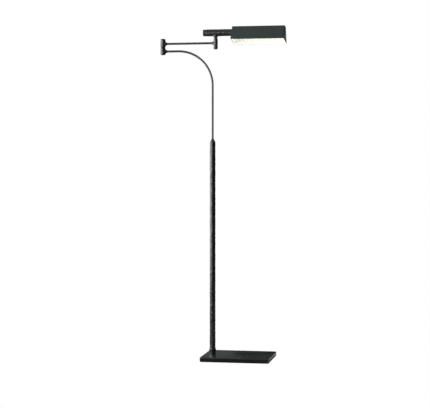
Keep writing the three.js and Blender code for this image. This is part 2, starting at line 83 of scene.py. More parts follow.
# shader groups, which several materials share
def newGroup(name, inputs, outputs, kind="ShaderNodeTree"):
    group = bpy.data.node_groups.new(name, kind)
    for socketName, socketType, default in inputs:
        socket = group.interface.new_socket(socketName, in_out="INPUT", socket_type=socketType)
        if default is not None:
            socket.default_value = default
    for socketName, socketType in outputs:
        group.interface.new_socket(socketName, in_out="OUTPUT", socket_type=socketType)
    return group, group.nodes.new("NodeGroupInput"), group.nodes.new("NodeGroupOutput")


def addNode(tree, kind, values=None, **sockets):
    node = tree.nodes.new(kind)
    for key, value in (values or {}).items():
        setattr(node, key, value)
    for key, value in sockets.items():
        socket = node.inputs[int(key[2:])] if key.startswith("in") else node.inputs[key]
        if isinstance(value, bpy.types.NodeSocket):
            tree.links.new(value, socket)
        else:
            socket.default_value = value
    return node


def math2(tree, operation, first, second=0.0, clamp=False):
    settings = {"operation": operation, "use_clamp": clamp}
    return addNode(tree, "ShaderNodeMath", settings, in0=first, in1=second).outputs[0]


def ramp(tree, value, low, high):
    # 0 below low, 1 above high, eased between
    settings = {"interpolation_type": "SMOOTHSTEP"}
    return addNode(tree, "ShaderNodeMapRange", settings, in0=value, in1=low, in2=high).outputs[0]


def spread(tree, value, low, high):
    # 0 to 1 becomes low to high
    return addNode(tree, "ShaderNodeMapRange", None, in0=value, in3=low, in4=high).outputs[0]


def noise(tree, place, scale, detail, roughness=0.5):
    sockets = {"Vector": place, "Scale": scale, "Detail": detail, "Roughness": roughness}
    return addNode(tree, "ShaderNodeTexNoise", None, **sockets).outputs[0]


def addBump(tree, shader, height, strength, depth):
    sockets = {"Strength": strength, "Distance": depth, "Height": height}
    bump = addNode(tree, "ShaderNodeBump", None, **sockets)
    tree.links.new(bump.outputs[0], shader.inputs["Normal"])


def mixColour(tree, factor, first, second):
    node = addNode(tree, "ShaderNodeMix", {"data_type": "RGBA"}, in0=factor)
    for socket, value in ((node.inputs[6], first), (node.inputs[7], second)):
        if isinstance(value, bpy.types.NodeSocket):
            tree.links.new(value, socket)
        else:
            socket.default_value = value
    return node.outputs[2]


def grainGroup():
    # a fine two-scale grain: height for bump, and a mask that drifts slowly over the surface
    tree, start, end = newGroup(
        "fineGrain",
        [("Grain Size", "NodeSocketFloat", 0.001), ("Drift Size", "NodeSocketFloat", 0.05)],
        [("Height", "NodeSocketFloat"), ("Drift", "NodeSocketFloat")],
    )
    place = addNode(tree, "ShaderNodeTexCoord").outputs["Object"]
    fine = math2(tree, "DIVIDE", 1.0, start.outputs["Grain Size"])
    slow = math2(tree, "DIVIDE", 1.0, start.outputs["Drift Size"])
    tree.links.new(noise(tree, place, fine, 3.0, 0.55), end.inputs["Height"])
    tree.links.new(ramp(tree, noise(tree, place, slow, 2.0), 0.3, 0.7), end.inputs["Drift"])
    return tree


def dustGroup():
    # settles on faces that look up, in soft patches
    tree, start, end = newGroup(
        "settledDust",
        [("Amount", "NodeSocketFloat", 0.2), ("Patch Size", "NodeSocketFloat", 0.04)],
        [("Mask", "NodeSocketFloat")],
    )
    spot = addNode(tree, "ShaderNodeTexCoord")
    up = addNode(tree, "ShaderNodeSeparateXYZ", None, in0=spot.outputs["Normal"]).outputs[2]
    scale = math2(tree, "DIVIDE", 1.0, start.outputs["Patch Size"])
    patches = ramp(tree, noise(tree, spot.outputs["Object"], scale, 5.0, 0.65), 0.35, 0.75)
    facing = ramp(tree, up, 0.35, 1.0)
    mask = math2(tree, "MULTIPLY", math2(tree, "MULTIPLY", patches, facing), start.outputs["Amount"])
    tree.links.new(mask, end.inputs["Mask"])
    return tree


def scuffGroup():
    # thin stretched scratches and rubbed spots
    tree, start, end = newGroup(
        "scuffs",
        [("Amount", "NodeSocketFloat", 0.5), ("Length", "NodeSocketFloat", 0.02)],
        [("Mask", "NodeSocketFloat")],
    )
    place = addNode(tree, "ShaderNodeTexCoord").outputs["Object"]
    long = math2(tree, "DIVIDE", 1.0, start.outputs["Length"])
    stretched = addNode(tree, "ShaderNodeMapping", None, Vector=place)
    stretched.inputs["Rotation"].default_value = (0.35, 0.5, 0.2)
    stretched.inputs["Scale"].default_value = (1, 14, 14)
    fine = ramp(tree, noise(tree, stretched.outputs[0], long, 2.0, 0.6), 0.62, 0.74)
    mask = math2(tree, "MULTIPLY", fine, ramp(tree, noise(tree, place, 22.0, 1.0), 0.45, 0.65))
    tree.links.new(math2(tree, "MULTIPLY", mask, start.outputs["Amount"]), end.inputs["Mask"])
    return tree


fineGrain = grainGroup()
settledDust = dustGroup()
scuffs = scuffGroup()


def rgb(red, green, blue):
    return (red, green, blue, 1.0)


def newMaterial(name, settings):
    material = bpy.data.materials.new(name)
    material.use_nodes = True
    shader = material.node_tree.nodes["Principled BSDF"]
    for socket, value in settings.items():
        shader.inputs[socket].default_value = value
    return material, material.node_tree, shader


def placeGroup(tree, group, **sockets):
    node = tree.nodes.new("ShaderNodeGroup")
    node.node_tree = group
    for key, value in sockets.items():
        node.inputs[key.replace("_", " ")].default_value = value
    return node


def finishSurface(tree, shader, look):
    # grain, scuffs and dust laid over a base colour, and the bump that goes with them
    grain = placeGroup(tree, fineGrain, Grain_Size=look["grainSize"], Drift_Size=look["driftSize"])
    rub = placeGroup(tree, scuffs, Amount=look["scuffs"], Length=look["scuffLength"])
    dust = placeGroup(tree, settledDust, Amount=look["dust"], Patch_Size=look["driftSize"])
    rubbed = rgb(*look["rubbed"])
    colour = mixColour(tree, grain.outputs["Drift"], rgb(*look["colour"]), rgb(*look["drifted"]))
    colour = mixColour(tree, rub.outputs["Mask"], colour, rubbed)
    rough = spread(tree, grain.outputs["Drift"], *look["rough"])
    rough = math2(tree, "ADD", rough, math2(tree, "MULTIPLY", rub.outputs["Mask"], 0.12))
    rough = math2(tree, "ADD", rough, math2(tree, "MULTIPLY", dust.outputs["Mask"], 0.35), clamp=True)
    if look.get("ridge"):
        attribute = addNode(tree, "ShaderNodeAttribute", {"attribute_name": "ridge"})
        worn = math2(tree, "MULTIPLY", attribute.outputs["Fac"], look["ridge"])
        colour = mixColour(tree, worn, colour, rubbed)
    colour = mixColour(tree, dust.outputs["Mask"], colour, rgb(0.32, 0.31, 0.29))
    tree.links.new(colour, shader.inputs["Base Color"])
    tree.links.new(rough, shader.inputs["Roughness"])
    addBump(tree, shader, grain.outputs["Height"], look["bump"], look["bumpDepth"])


def shadeWhiteMaterial():
    # white enamel with a painted glow: its emission stands in for the bulb's light on the inside of the shade,
    # which is no lamp
    settings = {"Metallic": 0.0, "IOR": 1.5, "Coat Weight": 0.3, "Emission Strength": 0.41}
    material, tree, shader = newMaterial("shadeWhite", settings)
    glow = placeGroup(tree, fineGrain, Grain_Size=0.0014, Drift_Size=0.06)
    # the painted glow's warm white colour, drifting with the grain
    paintedGlowColour = mixColour(tree, glow.outputs["Drift"], rgb(1.0, 0.99, 0.92), rgb(0.98, 0.965, 0.88))
    tree.links.new(paintedGlowColour, shader.inputs["Emission Color"])
    look = {
        "colour": (0.92, 0.91, 0.86), "drifted": (0.93, 0.92, 0.88), "rubbed": (0.74, 0.72, 0.66),
        "rough": (0.22, 0.3), "grainSize": 0.0014, "driftSize": 0.06, "scuffs": 0.15, "scuffLength": 0.012,
        "dust": 0.0, "bump": 0.12, "bumpDepth": 0.00015,
    }
    finishSurface(tree, shader, look)
    return material


def plainMaterial(name, settings, look):
    # a look's colours and roughness drift between two values; sizes in metres
    material, tree, shader = newMaterial(name, settings)
    base = {"scuffs": 0.15, "scuffLength": 0.006, "dust": 0.0, "driftSize": 0.01}
    finishSurface(tree, shader, {**base, **look})
    return material


def bulbGlassMaterial():
    # opal glass, brightest round the middle of its length
    settings = {"Base Color": rgb(1, 0.97, 0.9), "Roughness": 0.35, "IOR": 1.5, "Emission Strength": 0.9}
    material, tree, shader = newMaterial("opalGlass", settings)
    place = addNode(tree, "ShaderNodeTexCoord").outputs["Object"]
    along = addNode(tree, "ShaderNodeSeparateXYZ", None, in0=place).outputs[0]
    low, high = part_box("bulb_glass")
    middle = (low.x + high.x) / 2
    away = math2(tree, "ABSOLUTE", math2(tree, "SUBTRACT", along, middle))
    fade = ramp(tree, away, (high.x - low.x) * 0.2, (high.x - low.x) * 0.55)
    glow = mixColour(tree, fade, rgb(1.0, 0.94, 0.84), rgb(0.86, 0.77, 0.63))
    tree.links.new(glow, shader.inputs["Emission Color"])
    frost = placeGroup(tree, fineGrain, Grain_Size=0.0007, Drift_Size=0.02)
    tree.links.new(spread(tree, frost.outputs["Drift"], 0.3, 0.42), shader.inputs["Roughness"])
    addBump(tree, shader, frost.outputs["Height"], 0.1, 0.0001)
    return material


finishes = {
    "hammered_iron": plainMaterial("hammeredIron", {"Metallic": 0.92, "Specular IOR Level": 0.5}, {
        "colour": (0.105, 0.107, 0.11), "drifted": (0.082, 0.085, 0.086), "rubbed": (0.2, 0.195, 0.19),
        "rough": (0.34, 0.44), "grainSize": 0.0011, "driftSize": 0.03, "scuffs": 0.25, "scuffLength": 0.012,
        "dust": 0.05, "bump": 0.35, "bumpDepth": 0.0002, "ridge": 0.35,
    }),
    "smooth_iron": plainMaterial("smoothIron", {"Metallic": 0.92, "Specular IOR Level": 0.5}, {
        "colour": (0.135, 0.135, 0.138), "drifted": (0.115, 0.117, 0.12), "rubbed": (0.26, 0.25, 0.24),
        "rough": (0.27, 0.34), "grainSize": 0.0006, "driftSize": 0.04, "scuffs": 0.2, "scuffLength": 0.01,
        "dust": 0.04, "bump": 0.08, "bumpDepth": 0.00006,
    }),
    "base_iron": plainMaterial("baseIron", {"Metallic": 0.0, "IOR": 1.5, "Coat Weight": 0.15}, {
        "colour": (0.018, 0.023, 0.021), "drifted": (0.022, 0.027, 0.025), "rubbed": (0.05, 0.052, 0.05),
        "rough": (0.2, 0.27), "grainSize": 0.0016, "driftSize": 0.09, "scuffs": 0.2, "scuffLength": 0.02,
        "dust": 0.06, "bump": 0.25, "bumpDepth": 0.0002,
    }),
    "shade_enamel": plainMaterial("shadeBlack", {"Metallic": 0.0, "IOR": 1.5, "Coat Weight": 0.1}, {
        "colour": (0.039, 0.062, 0.056), "drifted": (0.043, 0.066, 0.06), "rubbed": (0.07, 0.075, 0.07),
        "rough": (0.36, 0.42), "grainSize": 0.0009, "driftSize": 0.07, "scuffs": 0.12, "scuffLength": 0.015,
        "dust": 0.05, "bump": 0.2, "bumpDepth": 0.00012,
    }),
    "frosted_glass": bulbGlassMaterial(),
    "zinc_steel": plainMaterial("zincSteel", {"Metallic": 1.0}, {
        "colour": (0.56, 0.57, 0.58), "drifted": (0.48, 0.5, 0.52), "rubbed": (0.7, 0.7, 0.7),
        "rough": (0.3, 0.42), "grainSize": 0.0005, "bump": 0.2, "bumpDepth": 0.0001,
    }),
    "brass": plainMaterial("turnedBrass", {"Metallic": 1.0}, {
        "colour": (0.66, 0.47, 0.2), "drifted": (0.55, 0.38, 0.16), "rubbed": (0.8, 0.6, 0.3),
        "rough": (0.22, 0.36), "grainSize": 0.0005, "bump": 0.15, "bumpDepth": 0.0001,
    }),
    "nylon": plainMaterial("naturalNylon", {"Subsurface Weight": 0.1}, {
        "colour": (0.78, 0.76, 0.7), "drifted": (0.72, 0.7, 0.63), "rubbed": (0.6, 0.58, 0.5),
        "rough": (0.45, 0.6), "grainSize": 0.0008, "bump": 0.2, "bumpDepth": 0.0001,
    }),
    "fibre": plainMaterial("blackFibre", {}, {
        "colour": (0.03, 0.026, 0.024), "drifted": (0.045, 0.038, 0.033), "rubbed": (0.1, 0.085, 0.07),
        "rough": (0.7, 0.85), "grainSize": 0.0004, "bump": 0.5, "bumpDepth": 0.0001,
    }),
    "felt": plainMaterial("blackFelt", {"Sheen Weight": 0.4, "Sheen Roughness": 0.6}, {
        "colour": (0.012, 0.012, 0.013), "drifted": (0.02, 0.02, 0.021), "rubbed": (0.05, 0.05, 0.05),
        "rough": (0.92, 1.0), "grainSize": 0.0007, "bump": 0.9, "bumpDepth": 0.0004,
    }),
    "rubber": plainMaterial("blackRubber", {}, {
        "colour": (0.015, 0.015, 0.015), "drifted": (0.02, 0.02, 0.02), "rubbed": (0.06, 0.06, 0.06),
        "rough": (0.55, 0.7), "grainSize": 0.0005, "bump": 0.3, "bumpDepth": 0.0001,
    }),
    "porcelain": plainMaterial("glazedPorcelain", {"Coat Weight": 0.6}, {
        "colour": (0.85, 0.83, 0.78), "drifted": (0.82, 0.8, 0.74), "rubbed": (0.6, 0.56, 0.5),
        "rough": (0.12, 0.22), "grainSize": 0.002, "bump": 0.1, "bumpDepth": 0.0001,
    }),
    "plastic": plainMaterial("mouldedPlastic", {}, {
        "colour": (0.03, 0.03, 0.032), "drifted": (0.036, 0.036, 0.038), "rubbed": (0.09, 0.09, 0.09),
        "rough": (0.4, 0.5), "grainSize": 0.0006, "bump": 0.3, "bumpDepth": 0.0001,
    }),
    "lead_jacket": plainMaterial("leadJacket", {}, {
        "colour": (0.5, 0.41, 0.24), "drifted": (0.44, 0.36, 0.2), "rubbed": (0.3, 0.25, 0.15),
        "rough": (0.45, 0.55), "grainSize": 0.0006, "bump": 0.2, "bumpDepth": 0.0001,
    }),
}
shadeWhite = shadeWhiteMaterial()
print("materials made:", len(finishes) + 1)

# every frame node starts with its own slot's finish
for part in frame["record"]["subparts"]:
    slots = cadNodes[part["node"]].data.materials
    slots.clear()
    slots.append(finishes[part["material_slot"]])
nodeSlot = {part["node"]: part["material_slot"] for part in frame["record"]["subparts"]}
nodeBody = {node: body for body, nodes in frame["record"]["behaviour"]["bodies"].items() for node in nodes}


def filleted(corners, closed, steps=4):
    # corners are (across, along, radius); each radius becomes an arc of that many steps
    points = []
    count = len(corners)
    for i, (across, along, radius) in enumerate(corners):
        here = Vector((across, along))
        if radius <= 0 or (not closed and i in (0, count - 1)):
            points.append(here)
            continue
        before = Vector(corners[i - 1][:2]) - here
        after = Vector(corners[(i + 1) % count][:2]) - here
        half = before.angle(after) / 2
        reach = min(radius / math.tan(half), before.length * 0.49, after.length * 0.49)
        radius = reach * math.tan(half)
        centre = here + (before.normalized() + after.normalized()).normalized() * (radius / math.sin(half))
        first = here + before.normalized() * reach - centre
        last = here + after.normalized() * reach - centre
        turn = first.angle_signed(last)
        for step in range(steps + 1):
            angle = -turn * step / steps
            points.append(centre + Matrix.Rotation(angle, 2) @ first)
    return points


def meshObject(name, shape):
    bmesh.ops.remove_doubles(shape, verts=shape.verts, dist=1e-7)
    bmesh.ops.recalc_face_normals(shape, faces=shape.faces)
    mesh = bpy.data.meshes.new(name)
    shape.to_mesh(mesh)
    shape.free()
    piece = bpy.data.objects.new(name, mesh)
    bpy.context.scene.collection.objects.link(piece)
    return piece


def turned(name, profile, segments, axis="Z", centre=(0, 0, 0), closed=True):
    # turns (radius, height) points, in metres, round an axis through centre
    shape = bmesh.new()
    centre = Vector(centre)
    rings = []
    for radius, height in profile:
        if radius < 1e-7:
            spots = [(0, 0)]
        else:
            angles = [2 * math.pi * i / segments for i in range(segments)]
            spots = [(radius * math.cos(angle), radius * math.sin(angle)) for angle in angles]
        if axis == "Z":
            ring = [shape.verts.new(centre + Vector((a, b, height))) for a, b in spots]
        else:
            ring = [shape.verts.new(centre + Vector((height, a, b))) for a, b in spots]
        rings.append(ring)
    pairs = list(zip(rings, rings[1:])) + ([(rings[-1], rings[0])] if closed else [])
    for first, second in pairs:
        for i in range(segments):
            j = (i + 1) % segments
            if len(first) == 1 and len(second) == 1:
                continue
            if len(first) == 1:
                shape.faces.new((first[0], second[i], second[j]))
            elif len(second) == 1:
                shape.faces.new((first[i], first[j], second[0]))
            else:
                shape.faces.new((first[i], first[j], second[j], second[i]))
    return meshObject(name, shape)


def turnedSolid(name, corners, segments, axis="Z", centre=(0, 0, 0), steps=4):
    # corners in millimetres from one end of the axis to the other, the axis closes it
    profile = [point * mm for point in filleted(corners, False, steps)]
    return turned(name, profile, segments, axis, centre, closed=False)


def turnedRing(name, corners, segments, axis="Z", centre=(0, 0, 0), steps=4):
    profile = [point * mm for point in filleted(corners, True, steps)]
    return turned(name, profile, segments, axis, centre, closed=True)


def applied(piece):
    # what the modifiers make becomes the piece's own plain mesh
    evaluated = piece.evaluated_get(bpy.context.evaluated_depsgraph_get())
    mesh = bpy.data.meshes.new_from_object(evaluated)
    mesh.name = piece.name
    piece.modifiers.clear()
    piece.data = mesh
    return piece


def moved(piece, place, turn=0.0, axis="Y"):
    # turned about the origin first, then carried to its place
    if turn:
        piece.data.transform(Matrix.Rotation(turn, 4, axis))
    piece.data.transform(Matrix.Translation(place))
    return piece


def softEdge(piece, width, segments):
    edge = piece.modifiers.new("edge", "BEVEL")
    edge.width = width
    edge.segments = segments
    edge.limit_method = "ANGLE"
    edge.angle_limit = math.radians(60)
    return applied(piece)


def plugCylinder(name, radius, low, high, segments=48, centre=(0, 0, 0)):
    corners = [(0, low, 0), (radius, low, 0), (radius, high, 0), (0, high, 0)]
    return turnedSolid(name, corners, segments, "Z", centre)


def radiusAbout(axis):
    # distance from an upright axis, for each of many points
    return lambda places: np.hypot(places[:, 0] - axis.x, places[:, 1] - axis.y)


def cutAway(piece, *cutters):
    for cutter in cutters:
        modifier = piece.modifiers.new("cut", "BOOLEAN")
        modifier.operation = "DIFFERENCE"
        modifier.solver = "EXACT"
        modifier.object = cutter
    applied(piece)
    for cutter in cutters:
        bpy.data.objects.remove(cutter)
    return piece


def merged(name, pieces, voxel, smoothing):
    # several overlapping solids become one skin with softened joins
    shape = bmesh.new()
    for piece in pieces:
        shape.from_mesh(piece.data)
        bpy.data.objects.remove(piece)
    mesh = bpy.data.meshes.new(name)
    shape.to_mesh(mesh)
    shape.free()
    whole = bpy.data.objects.new(name, mesh)
    bpy.context.scene.collection.objects.link(whole)
    remesh = whole.modifiers.new("skin", "REMESH")
    remesh.mode = "VOXEL"
    remesh.voxel_size = voxel
    remesh.use_smooth_shade = True
    soften = whole.modifiers.new("soften", "SMOOTH")
    soften.factor = 0.5
    soften.iterations = smoothing
    return applied(whole)


def shadeSmooth(piece, sharpAngle=35):
    for face in piece.data.polygons:
        face.use_smooth = True
    piece.data.set_sharp_from_angle(angle=math.radians(sharpAngle))


def finished(piece, body, slot, replaces=(), twoFinishes=False, sharpAngle=35):
    shadeSmooth(piece, sharpAngle)
    if not twoFinishes:
        piece.data.materials.clear()
        piece.data.materials.append(finishes[slot])
    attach(piece, body)
    if replaces:
        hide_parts(*replaces)
    return piece


def standIn(piece, node, **options):
    # a finer piece in the place of one frame node
    return finished(piece, nodeBody[node], nodeSlot[node], (node,), **options)


def hammerTree():
    # dents the surface with overlapping hammer blows, as deep as the point's own "hammer" weight says
    inputs = [
        ("Geometry", "NodeSocketGeometry", None),
        ("Mark Size", "NodeSocketFloat", 0.014),
        ("Mark Depth", "NodeSocketFloat", 0.001),
        ("Softness", "NodeSocketFloat", 0.2),
        ("Sunk", "NodeSocketFloat", 0.7),
        ("Waviness", "NodeSocketFloat", 0.0003),
        ("Seed", "NodeSocketFloat", 1.0),
        ("Material", "NodeSocketMaterial", None),
    ]
    outputs = [("Geometry", "NodeSocketGeometry")]
    tree, start, end = newGroup("hammeredSurface", inputs, outputs, "GeometryNodeTree")
    place = addNode(tree, "GeometryNodeInputPosition").outputs[0]
    weight = addNode(tree, "GeometryNodeInputNamedAttribute", {"data_type": "FLOAT"}, in0="hammer").outputs[0]
    scale = math2(tree, "DIVIDE", 1.0, start.outputs["Mark Size"])
    shift = addNode(tree, "ShaderNodeVectorMath", {"operation": "ADD"}, in0=place, in1=start.outputs["Seed"])
    marks = addNode(
        tree, "ShaderNodeTexVoronoi", {"voronoi_dimensions": "3D", "feature": "SMOOTH_F1"},
        Vector=shift.outputs[0], Scale=scale, Smoothness=start.outputs["Softness"], Randomness=0.95,
    )
    distance = marks.outputs["Distance"]
    squared = math2(tree, "MULTIPLY", distance, distance)
    dish = math2(tree, "MINIMUM", math2(tree, "DIVIDE", squared, 0.6), 1.0)
    below = math2(tree, "SUBTRACT", dish, start.outputs["Sunk"])
    dent = math2(tree, "MULTIPLY", below, start.outputs["Mark Depth"])
    waves = noise(tree, shift.outputs[0], math2(tree, "DIVIDE", scale, 2.6), 1.0)
    sway = math2(tree, "MULTIPLY", math2(tree, "SUBTRACT", waves, 0.5), start.outputs["Waviness"])
    height = math2(tree, "MULTIPLY", math2(tree, "ADD", dent, sway), weight)
    ridge = math2(tree, "MULTIPLY", ramp(tree, dish, 0.45, 0.95), weight)
    stored = addNode(
        tree, "GeometryNodeStoreNamedAttribute", {"data_type": "FLOAT", "domain": "POINT"},
        Geometry=start.outputs["Geometry"], Name="ridge", Value=ridge,
    )
    normal = addNode(tree, "GeometryNodeInputNormal").outputs[0]
    offset = addNode(tree, "ShaderNodeVectorMath", {"operation": "SCALE"}, in0=normal, Scale=height)
    moved = addNode(
        tree, "GeometryNodeSetPosition", None, Geometry=stored.outputs[0], Offset=offset.outputs[0]
    )
    real = addNode(tree, "GeometryNodeRealizeInstances", None, Geometry=moved.outputs[0])
    painted = addNode(
        tree, "GeometryNodeSetMaterial", None, Geometry=real.outputs[0], Material=start.outputs["Material"]
    )
    tree.links.new(painted.outputs[0], end.inputs["Geometry"])
    return tree


hammeredSurface = hammerTree()


def hammered(piece, values, weights):
    # weights gives each vertex how much of the blow it takes, from 0 to 1
    attribute = piece.data.attributes.new("hammer", "FLOAT", "POINT")
    places = np.zeros(len(piece.data.vertices) * 3)
    piece.data.vertices.foreach_get("co", places)
    attribute.data.foreach_set("value", weights(places.reshape(-1, 3)).astype(np.float32))
    modifier = piece.modifiers.new("hammer", "NODES")
    modifier.node_group = hammeredSurface
    settings = {
        "Mark Size": values["markSize"] * mm,
        "Mark Depth": values["markDepth"] * mm,
        "Softness": values["softness"],
        "Sunk": values["sunk"],
        "Waviness": values["waviness"] * mm,
        "Seed": float(values["seed"]),
        "Material": finishes["hammered_iron"],
    }
    for socket in hammeredSurface.interface.items_tree:
        if socket.in_out == "INPUT" and socket.name in settings:
            modifier[socket.identifier] = settings[socket.name]
    applied(piece)
    piece.data.attributes.remove(piece.data.attributes["hammer"])
    return piece


def between(values, low, high, fade):
    # 1 well inside low and high, easing to 0 over the fade at both ends
    inside = np.minimum(values - low, high - values) / fade
    eased = np.clip(inside, 0, 1)
    return eased * eased * (3 - 2 * eased)


# pocket, channel and cord hole are under the plate; millimetres here and in the other pieces' values
baseValues = {
    "corner": 10, "bevel": 2.4, "pocket": 17, "pocketDepth": 12,
    "channel": 9, "channelDepth": 11, "cordHole": 4.3,
}
postAxis = Vector(joints["column_turn"]["pos_m"])


def roundedBlock(name, low, high, corner, bevel, steps=10):
    shape = bmesh.new()
    corners = [
        (high.x, low.y, corner), (high.x, high.y, corner), (low.x, high.y, corner), (low.x, low.y, corner),
    ]
    outline = filleted(corners, True, steps)
    bottom = [shape.verts.new((x, y, low.z)) for x, y in outline]
    face = shape.faces.new(bottom)
    made = bmesh.ops.extrude_face_region(shape, geom=[face])
    for vert in (item for item in made["geom"] if isinstance(item, bmesh.types.BMVert)):
        vert.co.z = high.z
    return softEdge(meshObject(name, shape), bevel, 5)


def makeBase(values):
    low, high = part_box("base_plate")
    plate = roundedBlock("basePlate", low, high, values["corner"] * mm, values["bevel"] * mm)
    pocketTop = (low.z / mm) + values["pocketDepth"]
    below = low.z / mm - 1
    place = (postAxis.x, postAxis.y, 0)
    corners = [
        (0, below, 0), (values["pocket"], below, 0), (values["pocket"], pocketTop, 1), (0, pocketTop, 0),
    ]
    pocket = turnedSolid("pocket", corners, 64, "Z", place)
    nippleLow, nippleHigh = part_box("tie_nipple")
    holeRadius = (nippleHigh.x - nippleLow.x) / 2 / mm + 0.3
    hole = plugCylinder("hole", holeRadius, below, 40, centre=place)
    glandLow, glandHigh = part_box("cord_gland")
    half = values["channel"] * mm / 2
    channelLow = Vector((postAxis.x - half, 0, low.z - mm))
    channelHigh = Vector((postAxis.x + half, glandLow.y, low.z + values["channelDepth"] * mm))
    channel = roundedBlock("channel", channelLow, channelHigh, 0, 0.0004, 1)
    cordHole = plugCylinder("cordHole", values["cordHole"], -5, 30, 40)
    glandHeight = (glandLow.z + glandHigh.z) / 2
    moved(cordHole, (postAxis.x, glandLow.y, glandHeight), -math.pi / 2, "X")
    cutAway(plate, pocket, hole, channel, cordHole)
    standIn(plate, "base_plate", sharpAngle=40)


def makeGland():
    low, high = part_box("cord_gland")
    length = (high.y - low.y) / mm
    flange = (high.x - low.x) / 2 / mm
    bore, neck = 3.4, 4
    corners = [
        (bore, 0, 0.5), (neck, 0, 0.4), (neck, length - 2, 0), (flange, length - 2, 0.5),
        (flange - 0.5, length, 0.8), (bore, length, 0.8),
    ]
    gland = turnedRing("cordGland", corners, 48)
    moved(gland, (postAxis.x, low.y, (low.z + high.z) / 2), -math.pi / 2, "X")
    standIn(gland, "cord_gland")


makeBase(baseValues)
makeGland()
print("base made")

# the post's own hammer blows; smaller pieces change a few of these
hammerValues = {
    "markSize": 13.5, "markDepth": 0.85, "softness": 0.2, "sunk": 0.55, "waviness": 0.6, "seed": 3,
}
postValues = {"wall": 2, "edge": 0.5}
collarValues = {"wall": 1.8, "roundTop": 6}
nutValues = {"bore": 5.1, "tip": 5.9, "inside": 7.7, "ceiling": 5.0, "shoulder": 4.5}
aboutPost = radiusAbout(postAxis)


def column(low, high, step):
    # heights from low to high at about that spacing
    count = max(1, round((high - low) / step))
    return [low + (high - low) * i / count for i in range(count + 1)]


def makePost(values, hammer):
    low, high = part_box("post_tube")
    radius = (high.x - low.x) / 2
    bore = radius - values["wall"] * mm
    edge = values["edge"] * mm
    outer = [(radius - edge, low.z), (radius, low.z + edge)]
    outer += [(radius, z) for z in column(low.z + edge, high.z - edge, 1.1 * mm)[1:]]
    outer += [(radius - edge * 0.3, high.z - edge * 0.3), (radius - edge, high.z)]
    profile = outer + [(bore, high.z), (bore, low.z)]
    post = turned("postTube", profile, 76, "Z", (postAxis.x, postAxis.y, 0))

    def weights(places):
        skin = aboutPost(places) > radius - 0.2 * mm
        return between(places[:, 2], low.z + mm, high.z - mm, 6 * mm) * skin

    hammered(post, hammer, weights)
    standIn(post, "post_tube", sharpAngle=60)


def makeCollar(values, hammer):
    low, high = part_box("foot_collar")
    radius = (high.x - low.x) / 2 / mm
    wall, curve = values["wall"], values["roundTop"]
    bore = radius - wall
    height = (high.z - low.z) / mm
    profile = [(bore, 0), (radius - 0.4, 0)] + [(radius, z) for z in column(0.6, height - curve, 1.0)]
    for turn in (0.2, 0.45, 0.7, 0.95, 1.2, 1.4):
        profile.append((bore + wall * math.cos(turn), height - curve + curve * math.sin(turn)))
    profile += [(bore + 0.15, height), (bore, height)]
    centre = (postAxis.x, postAxis.y, low.z)
    collar = turned("footCollar", [(r * mm, z * mm) for r, z in profile], 84, "Z", centre)

    def weights(places):
        return between(places[:, 2], low.z, high.z, 5 * mm) * (aboutPost(places) > (bore + 0.7) * mm)

    hammered(collar, {**hammer, "markDepth": 0.6, "seed": 8}, weights)
    standIn(collar, "foot_collar", sharpAngle=60)


def makeColletNut(values, hammer):
    low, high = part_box("collet_nut")
    radius = (high.x - low.x) / 2 / mm
    height = (high.z - low.z) / mm
    bore, inside, ceiling = values["bore"], values["inside"], values["ceiling"]
    corners = [
        (inside, 0, 0), (radius, 0, 0.5), (radius, values["shoulder"], 5),
        (values["tip"], height, 0.6), (bore, height, 0),
    ]
    outline = filleted(corners, False, 8)
    profile = []
    for first, second in zip(outline, outline[1:]):
        share = max(1, round((second - first).length / 0.8))
        profile += [tuple(first.lerp(second, i / share)) for i in range(share)]
    profile += [(bore, height), (bore, ceiling), (inside, ceiling)]
    centre = (postAxis.x, postAxis.y, low.z)
    nut = turned("colletNut", [(r * mm, z * mm) for r, z in profile], 72, "Z", centre)

    def weights(places):
        return between(places[:, 2], low.z, high.z, 4 * mm) * (aboutPost(places) > inside * mm)

    hammered(nut, {**hammer, "markSize": 9, "markDepth": 0.4, "seed": 5}, weights)
    standIn(nut, "collet_nut", sharpAngle=60)


makePost(postValues, hammerValues)
makeCollar(collarValues, hammerValues)
makeColletNut(nutValues, hammerValues)
print("post made")

rodValues = {"radius": 4.75, "wall": 1.5, "bend": 152.4}


def swept(name, path, radius, bore, sides=40):
    # a tube along a list of points that lie in one plane of constant y, open at neither end
    shape = bmesh.new()
    across = Vector((0, 1, 0))
    rings = []
    for ringRadius, order in ((radius, path), (bore, path[::-1])):
        for spot in order:
            i = path.index(spot)
            ahead = (path[min(i + 1, len(path) - 1)] - path[max(i - 1, 0)]).normalized()
            side = ahead.cross(across)
            ring = []
            for k in range(sides):
                angle = 2 * math.pi * k / sides
                away = math.cos(angle) * across + math.sin(angle) * side
                ring.append(shape.verts.new(spot + ringRadius * away))
            rings.append(ring)
    for first, second in zip(rings, rings[1:] + rings[:1]):
        for k in range(sides):
            j = (k + 1) % sides
            shape.faces.new((first[k], first[j], second[j], second[k]))
    return meshObject(name, shape)


def makeColumnRod(values):
    low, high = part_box("column_rod")
    radius = values["radius"] * mm
    armHeight = high.z - radius
    bend = values["bend"] * mm
    bendStart = armHeight - bend
    path = [Vector((postAxis.x, 0, z)) for z in (low.z, bendStart)]
    for i in range(1, 65):
        turn = math.pi / 2 * i / 64
        path.append(Vector((postAxis.x - bend * (1 - math.cos(turn)), 0, bendStart + bend * math.sin(turn))))
    path.append(Vector((low.x, 0, armHeight)))
    standIn(swept("columnRod", path, radius, radius - values["wall"] * mm), "column_rod")


def makeUpperArm(values):
    low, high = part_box("upper_arm_tube")
    radius = (high.z - low.z) / 2
    height = (high.z + low.z) / 2
    ends = [Vector((low.x, 0, height)), Vector((high.x, 0, height))]
    standIn(swept("upperArmTube", ends, radius, radius - values["wall"] * mm), "upper_arm_tube")


makeColumnRod(rodValues)
makeUpperArm(rodValues)
print("rods made")

